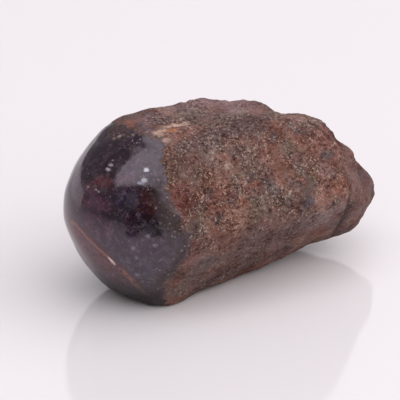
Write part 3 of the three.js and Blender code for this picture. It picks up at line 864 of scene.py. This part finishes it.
# ---- the stone -----------------------------------------------------------------------------------
def make_stone():
    directions, triangles = ball(ROWS)
    middle = np.array([0, 0, AXIS_HEIGHT])
    prism = faces_limit(PRISM_FACES, directions, PRISM_EDGE)
    broken = faces_limit(BREAK_FACES, directions, BREAK_EDGE)
    crystal = (prism ** BREAK_EDGE + broken ** BREAK_EDGE) ** (1 / BREAK_EDGE)
    passes = [grinding_limit(directions, *item) for item in GRINDING_PASSES.values()]
    dome = np.maximum(*passes)
    both = crystal ** GRIND_EDGE + dome ** GRIND_EDGE
    ground = dome ** GRIND_EDGE / both
    reach = both ** (-1 / GRIND_EDGE)
    plain = directions * reach[:, None] + middle
    height, natural = main_relief(plain, ground)
    past = past_edge(plain + CENTRE)
    height = height + fine_relief(plain, np.maximum(natural, 0.5) * smooth(*GRAIN_STARTS, past))
    # small bosses and grooves go where they are on the finished stone
    relieved = directions * (reach + height)[:, None] + middle + CENTRE
    height = height + sum(lump(relieved, *item) for item in SMALL_LUMPS.values())
    strayed = relieved + wander(plain, *GROOVE_WANDER)
    # where the grooves lie, which the material paints with shade
    crevice = np.zeros(len(plain))
    for line, half_width, depth in GROOVES.values():
        inside = 1 - smooth(*GROOVE_WALL, away_from_line(strayed, line) / half_width)
        height = height - inside * depth
        crevice = np.maximum(crevice, inside)
    points = directions * (reach + height)[:, None] + middle + CENTRE
    # the solid's box holds the stone, and its bottom is the flat that the stone rests on
    lowest, highest = (np.array(corner) / MM for corner in CAD_BOX)
    points = np.clip(points, lowest, highest)
    stone = mesh_object("ruby_stone_body", points, triangles, stone_material())
    shoulder_share = smooth(*PASS_CREASE, passes[1] - passes[0])
    add_value(stone, "past_edge", past)
    add_value(stone, "crevice", crevice)
    add_value(stone, "satin", shoulder_share * smooth(*SATIN_Z, points[:, 2]))
    return stone


stone = make_stone()
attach(stone, "root")
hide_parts("star_ruby_crystal")


# ---- floor, cards, lights and camera, in metres --------------------------------------------------
def flat_panel(name, points, material):
    mesh = bpy.data.meshes.new(name)
    mesh.from_pydata(points, [], [tuple(range(len(points)))])
    mesh.materials.append(material)
    panel = add_object(name, mesh)
    return panel


def upright(left, right):
    """Corners of a card that stands on the floor between two edges, each given as X, Y and height."""
    (x0, y0, top0), (x1, y1, top1) = left, right
    return [(x0, y0, 0.0), (x1, y1, 0.0), (x1, y1, top1), (x0, y0, top0)]


def aim(obj, place, target):
    """Puts a light or the camera in its place, looking at the target."""
    back = (np.array(place) - np.array(target)).astype(float)
    back /= np.linalg.norm(back)
    right = np.cross([0, 0, 1], back)
    right /= np.linalg.norm(right)
    up = np.cross(back, right)
    rows = [[right[i], up[i], back[i], place[i]] for i in range(3)] + [[0, 0, 0, 1]]
    obj.matrix_world = Matrix(rows)


def area_light(name, place, target, size, power, colour):
    data = bpy.data.lights.new(name, "AREA")
    data.shape = "RECTANGLE"
    data.size, data.size_y = size
    data.energy = power
    data.color = colour
    light = add_object(name, data)
    aim(light, place, target)
    return light


FLOOR_HALF = 3.0
FLOOR = [(x * FLOOR_HALF, y * FLOOR_HALF, 0) for x, y in ((-1, -1), (1, -1), (1, 1), (-1, 1))]
flat_panel("pale_floor", FLOOR, floor_material())

world = bpy.data.worlds.new("studio")
bpy.context.scene.world = world
world.use_nodes = True
background = world.node_tree.nodes["Background"]
background.inputs["Color"].default_value = opaque((0.95, 0.9, 0.95))
background.inputs["Strength"].default_value = 0.25

# white card overhead, and a row of low cards behind the stone
CARD_HEIGHT = 1.0
CARD_CORNERS = [(-0.11, 0.215), (-1.07, 0.308), (-1.51, 0.173), (-0.46, -0.82), (0.1, -1.5), (1.6, -1.6),
                (1.4, 0.0)]
CARD = [(x, y, CARD_HEIGHT) for x, y in CARD_CORNERS]
flat_panel("overhead_card", CARD, glow_material("card_glow", (1.0, 0.97, 1.0), 1.4))
BACK_EDGES = [(-0.70, 0.74, 0.12), (-0.25, 1.0, 0.13), (-0.04, 1.04, 0.08), (0.25, 1.05, 0.12)]
for number, (left, right) in enumerate(zip(BACK_EDGES, BACK_EDGES[1:])):
    name = "back_card_%d" % number
    flat_panel(name, upright(left, right), glow_material(name + "_glow", (1.0, 0.90, 0.93), 1.0))

# place, target, size, power in watts, colour
LIGHTS = {
    "key_softbox": ((0.85, -0.55, 0.6), (0, 0, 0.05), (1.9, 1.1), 6.2, (1, 0.98, 0.99)),
    "top_softbox": ((0.65, 0.30, 1.1), (0, 0, 0), (1.1, 0.9), 3.4, (1, 0.96, 0.985)),
    "back_softbox": ((0.65, 0.92, 0.62), (0, 0, 0), (0.8, 0.8), 1.7, (1, 0.95, 0.98)),
    "front_fill": ((-0.35, -0.9, 0.8), (0, 0, 0), (1.4, 1.0), 7.2, (1, 0.97, 0.985)),
}
for name, item in LIGHTS.items():
    light = area_light(name, *item)
    light.visible_glossy = name != "front_fill"   # the fill's mirror image would fall on the dome

# a dark screen and a dark cloth before the stone, met only as mirror images in the polish
SCREEN = upright((-0.99, -0.17, 0.9), (-0.21, -0.98, 0.9))
CLOTH_LIFT = 0.0005   # just clear of the floor
CLOTH_CORNERS = [(-0.047, -0.019), (-0.044, -0.030), (-0.037, -0.038), (-0.029, -0.043), (-0.61, -1.37),
                 (-1.39, -0.56)]
CLOTH = [(x, y, CLOTH_LIFT) for x, y in CLOTH_CORNERS]
for name, corners, glow in (("dark_screen", SCREEN, 0.09), ("dark_cloth", CLOTH, 0.15)):
    panel = flat_panel(name, corners, glow_material(name + "_glow", (1.0, 0.95, 1.0), glow))
    panel.visible_camera = panel.visible_diffuse = panel.visible_shadow = False

CAMERA_TURN, CAMERA_RISE, CAMERA_AWAY = math.radians(-31), math.radians(21), 0.42
TARGET = np.array([-3.873, -0.29, 10.125]) * MM
toward_camera = np.array([math.sin(CAMERA_TURN) * math.cos(CAMERA_RISE),
                          -math.cos(CAMERA_TURN) * math.cos(CAMERA_RISE), math.sin(CAMERA_RISE)])
camera_data = bpy.data.cameras.new("camera")
camera_data.lens = 315
camera_data.sensor_width = 36
camera_data.clip_start = 0.01
camera = add_object("camera", camera_data)
aim(camera, TARGET + toward_camera * CAMERA_AWAY, TARGET)
bpy.context.scene.camera = camera
bpy.context.scene.view_settings.view_transform = "Standard"
